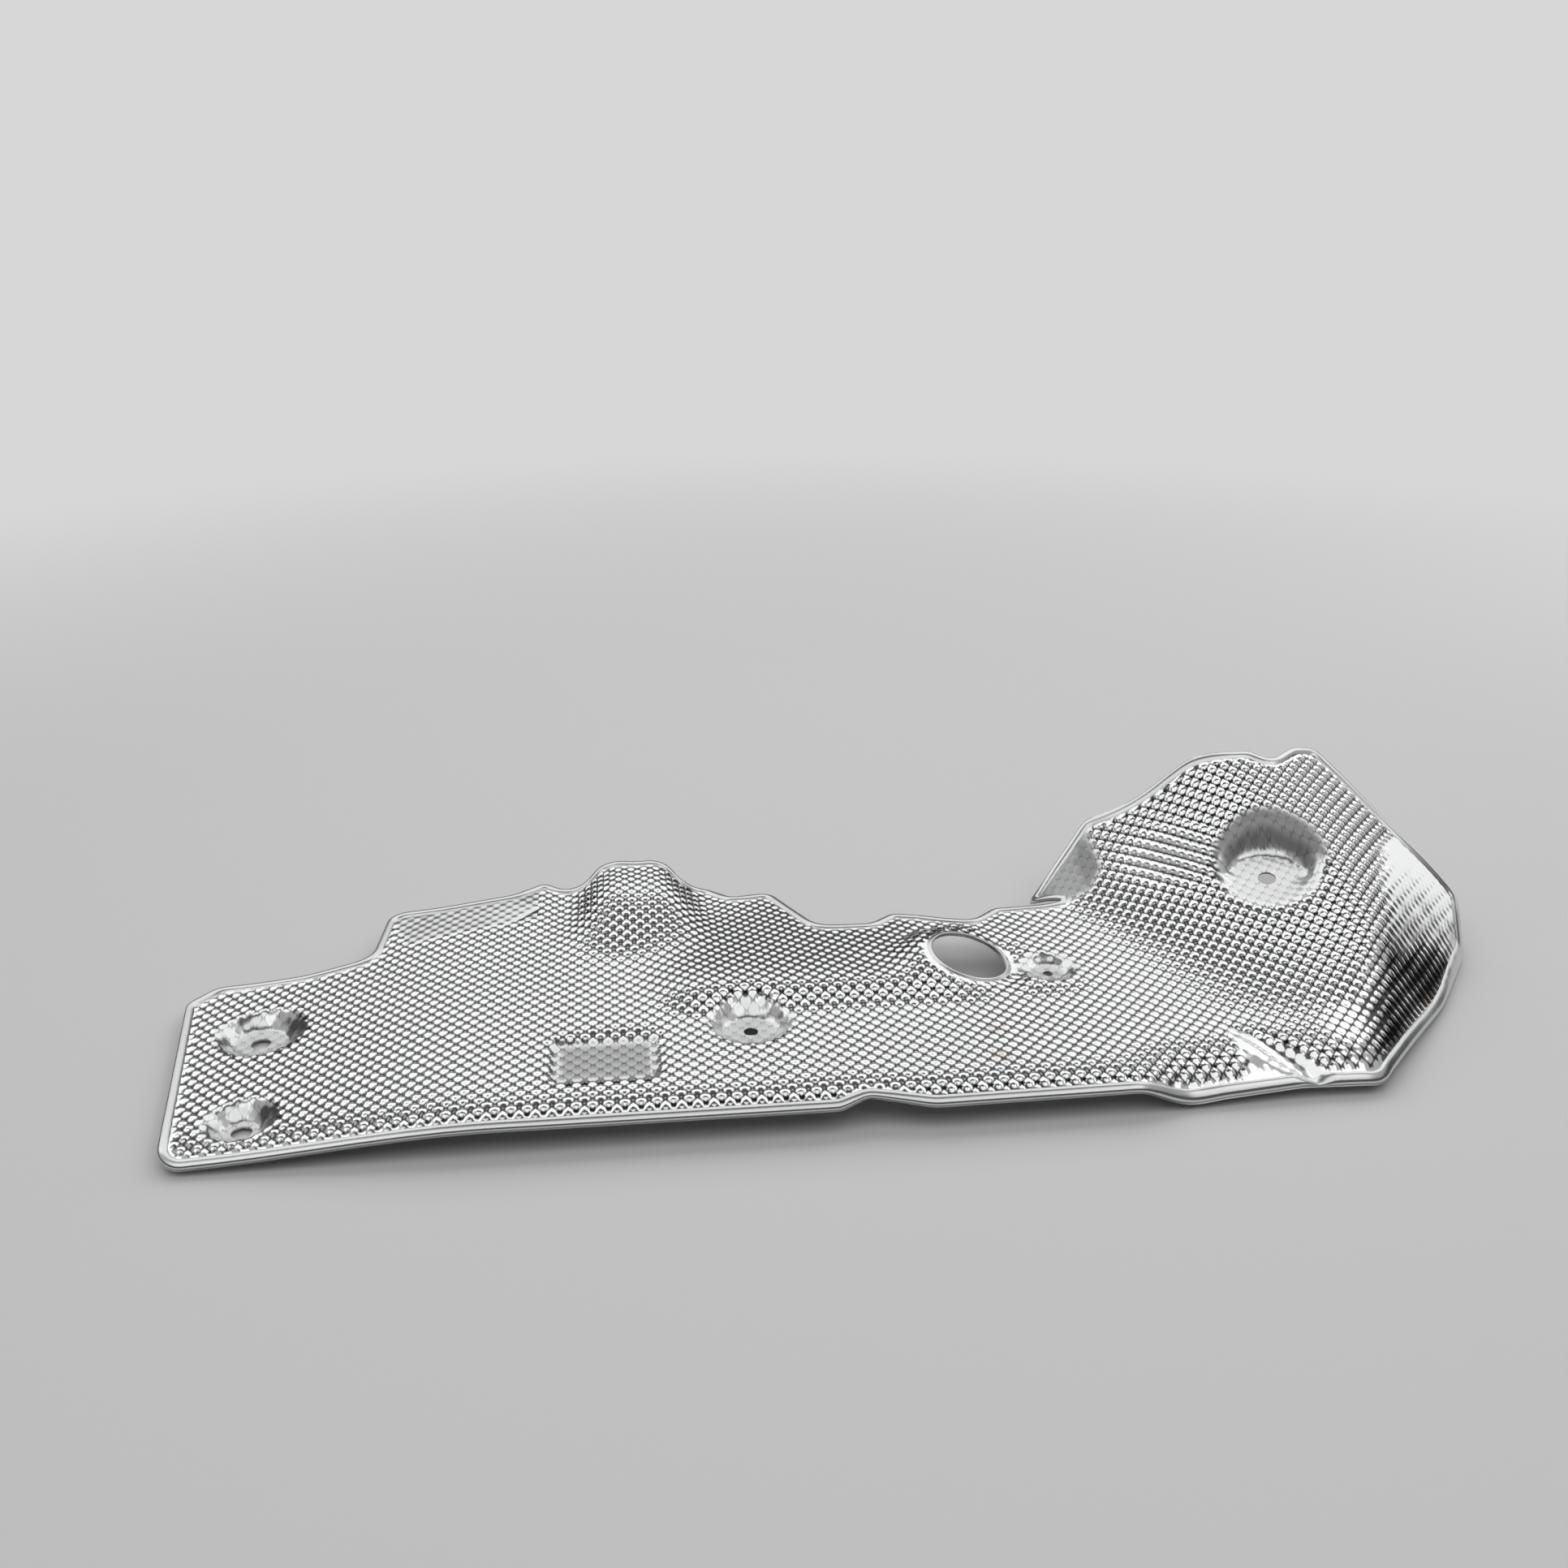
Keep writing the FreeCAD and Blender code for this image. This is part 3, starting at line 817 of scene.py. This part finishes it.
def make_rim():
    """Ring of the raised rim round the large hole."""
    mesh = bmesh.new()
    turn = Vector((0, 0, 1)).rotation_difference(Vector(LARGE_HOLE_AXIS))
    rings = []
    for index in range(RIM_SIDES):
        angle = 2 * math.pi * index / RIM_SIDES
        ring = []
        for radius, height in RIM_PROFILE:
            place = Vector((radius * math.cos(angle), radius * math.sin(angle), height)) * MM
            ring.append(mesh.verts.new(turn @ place + Vector(LARGE_HOLE_CENTRE)))
        rings.append(ring)
    bridge_rings(mesh, rings, 1)
    mesh.normal_update()
    return piece_from(mesh, "rim")


def make_underside(tree, sunk):
    """The solid's lower faces, which follow the upper face where it has sunk."""
    mesh = cad_mesh.copy()
    upper = [face for face in mesh.faces if face.normal.z > -WALL_SLOPE]
    bmesh.ops.delete(mesh, geom=upper, context="FACES")
    for vert in mesh.verts:
        nearest = tree.find((vert.co.x, vert.co.y, 0))[1]
        vert.co.z += sunk[nearest]
    return piece_from(mesh, "underside")


def new_material(name, colour, metallic, roughness):
    material = bpy.data.materials.new(name)
    material.use_nodes = True
    shader = material.node_tree.nodes["Principled BSDF"]
    shader.inputs["Base Color"].default_value = (*colour, 1)
    shader.inputs["Metallic"].default_value = metallic
    shader.inputs["Roughness"].default_value = roughness
    return material, material.node_tree, shader


def darken(tree, colour, attribute, tint):
    """Colour multiplied by a tint where an attribute of the sheet is high, and that attribute."""
    share = tree.nodes.new("ShaderNodeAttribute")
    share.attribute_name = attribute
    mix = tree.nodes.new("ShaderNodeMix")
    mix.data_type = "RGBA"
    mix.blend_type = "MULTIPLY"
    mix.inputs["B"].default_value = (*tint, 1)
    tree.links.new(share.outputs["Fac"], mix.inputs["Factor"])
    tree.links.new(colour, mix.inputs["A"])
    return mix.outputs["Result"], share.outputs["Fac"]


def embossed_aluminium():
    """Bright aluminium with painted shade in its grooves and crease, rougher and painted darker where it is
    pressed flat, with a few brown stains.
    """
    material, tree, shader = new_material("embossed_aluminium", SHEET_COLOUR, 1.0, BRIGHT_ROUGHNESS)
    height = tree.nodes.new("ShaderNodeAttribute")
    height.attribute_name = "painted_shade_lightness"
    # Painted shade: dark groove colour where the value is low, dome colour where it is high
    shade = tree.nodes.new("ShaderNodeValToRGB")
    groove_shade, dome = shade.color_ramp.elements
    groove_shade.position = GROOVE_SHADE_LEVEL
    groove_shade.color = (*GROOVE_SHADE_COLOUR, 1)
    dome.position = DOME_LEVEL
    dome.color = (*DOME_COLOUR, 1)
    tree.links.new(height.outputs["Fac"], shade.inputs["Fac"])
    # Painted shade: the dullness attribute darkens the colour by the shade tint; it also raises the
    # roughness, which is real
    colour, dullness = darken(tree, shade.outputs["Color"], "dullness", PAINTED_SHADE_TINT)
    colour = darken(tree, colour, "stain", STAIN_TINT)[0]
    rough = tree.nodes.new("ShaderNodeMapRange")
    rough.inputs["To Min"].default_value = BRIGHT_ROUGHNESS
    rough.inputs["To Max"].default_value = DULL_ROUGHNESS
    tree.links.new(dullness, rough.inputs["Value"])
    tree.links.new(colour, shader.inputs["Base Color"])
    tree.links.new(rough.outputs["Result"], shader.inputs["Roughness"])
    return material


def hem_aluminium():
    return new_material("hem_aluminium", HEM_COLOUR, 1.0, HEM_ROUGHNESS)[0]


def plain_aluminium():
    return new_material("underside_aluminium", UNDERSIDE_COLOUR, 1.0, UNDERSIDE_ROUGHNESS)[0]


def make_shield():
    """Sheet, hem, rim and underside joined as the one piece of metal that they are."""
    sheet, sunk = make_sheet()
    hem = make_hem()
    rim = make_rim()
    underside = make_underside(*sunk)
    angles = ((sheet, SHEET_ANGLE), (hem, HEM_ANGLE), (rim, RIM_ANGLE), (underside, UNDERSIDE_ANGLE))
    for part, angle in angles:
        make_active(part)
        bpy.ops.object.shade_smooth_by_angle(angle=math.radians(angle))
    sheet.data.materials.append(embossed_aluminium())
    hem_finish = hem_aluminium()
    hem.data.materials.append(hem_finish)
    rim.data.materials.append(hem_finish)
    underside.data.materials.append(plain_aluminium())
    deselect_all()
    for part in (underside, rim, hem, sheet):
        part.select_set(True)
    bpy.context.view_layer.objects.active = sheet
    bpy.ops.object.join()
    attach(sheet, "root")
    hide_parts("heat_shield")


def grey(level):
    return (level, level, level, 1)


def pale_floor():
    """Pale floor that keeps one even tone for the camera far from the shield."""
    material, tree, shader = new_material("pale_floor", FLOOR_COLOUR, 0.0, FLOOR_ROUGHNESS)
    pale = tree.nodes.new("ShaderNodeEmission")
    pale.inputs["Color"].default_value = grey(PALE_GREY)
    place = tree.nodes.new("ShaderNodeTexCoord")
    reach = tree.nodes.new("ShaderNodeVectorMath")
    reach.operation = "LENGTH"
    far = tree.nodes.new("ShaderNodeMapRange")
    far.interpolation_type = "SMOOTHSTEP"
    far.inputs["From Min"].default_value = FLOOR_FADE_FROM
    far.inputs["From Max"].default_value = FLOOR_FADE_TO
    path = tree.nodes.new("ShaderNodeLightPath")
    seen = tree.nodes.new("ShaderNodeMath")
    seen.operation = "MULTIPLY"
    mix = tree.nodes.new("ShaderNodeMixShader")
    tree.links.new(place.outputs["Object"], reach.inputs[0])
    tree.links.new(reach.outputs["Value"], far.inputs["Value"])
    tree.links.new(far.outputs["Result"], seen.inputs[0])
    tree.links.new(path.outputs["Is Camera Ray"], seen.inputs[1])
    tree.links.new(seen.outputs["Value"], mix.inputs["Fac"])
    tree.links.new(shader.outputs["BSDF"], mix.inputs[1])
    tree.links.new(pale.outputs["Emission"], mix.inputs[2])
    tree.links.new(mix.outputs["Shader"], tree.nodes["Material Output"].inputs["Surface"])
    return material


def make_floor():
    bpy.ops.mesh.primitive_plane_add(size=FLOOR_SIZE, location=(0, 0, FLOOR_HEIGHT))
    floor = bpy.context.object
    floor.name = "floor"
    floor.data.materials.append(pale_floor())


def make_lamp(name, place, size, brightness):
    data = bpy.data.lights.new(name, "AREA")
    data.shape = "RECTANGLE"
    data.size, data.size_y = size
    data.energy = brightness * math.pi * size[0] * size[1]
    lamp = bpy.data.objects.new(name, data)
    lamp.location = place
    lamp.rotation_euler = (-Vector(place)).to_track_quat("-Z", "Y").to_euler()
    lamp.visible_camera = False
    bpy.context.collection.objects.link(lamp)


def make_light():
    """Soft boxes round the shield, in a room that is dim in reflections and pale to the camera."""
    for name, box in SOFT_BOXES.items():
        make_lamp(name, *box)
    world = bpy.data.worlds.new("studio")
    bpy.context.scene.world = world
    world.use_nodes = True
    tree = world.node_tree
    dim = tree.nodes["Background"]
    dim.inputs["Color"].default_value = grey(ROOM_GREY)
    pale = tree.nodes.new("ShaderNodeBackground")
    pale.inputs["Color"].default_value = grey(PALE_GREY)
    path = tree.nodes.new("ShaderNodeLightPath")
    pick = tree.nodes.new("ShaderNodeMixShader")
    tree.links.new(path.outputs["Is Camera Ray"], pick.inputs["Fac"])
    tree.links.new(dim.outputs["Background"], pick.inputs[1])
    tree.links.new(pale.outputs["Background"], pick.inputs[2])
    tree.links.new(pick.outputs["Shader"], tree.nodes["World Output"].inputs["Surface"])


def make_camera():
    data = bpy.data.cameras.new("camera")
    data.lens = CAMERA_LENS
    camera = bpy.data.objects.new("camera", data)
    camera.location = CAMERA_PLACE
    turn = Matrix.Rotation(math.radians(CAMERA_TURN), 3, "Z")
    tilt = Matrix.Rotation(math.radians(CAMERA_TILT), 3, "X")
    roll = Matrix.Rotation(math.radians(CAMERA_ROLL), 3, "Z")
    camera.rotation_euler = (turn @ tilt @ roll).to_euler()
    bpy.context.collection.objects.link(camera)
    bpy.context.scene.camera = camera


make_shield()
make_floor()
make_light()
make_camera()
bpy.context.scene.view_settings.view_transform = "Standard"
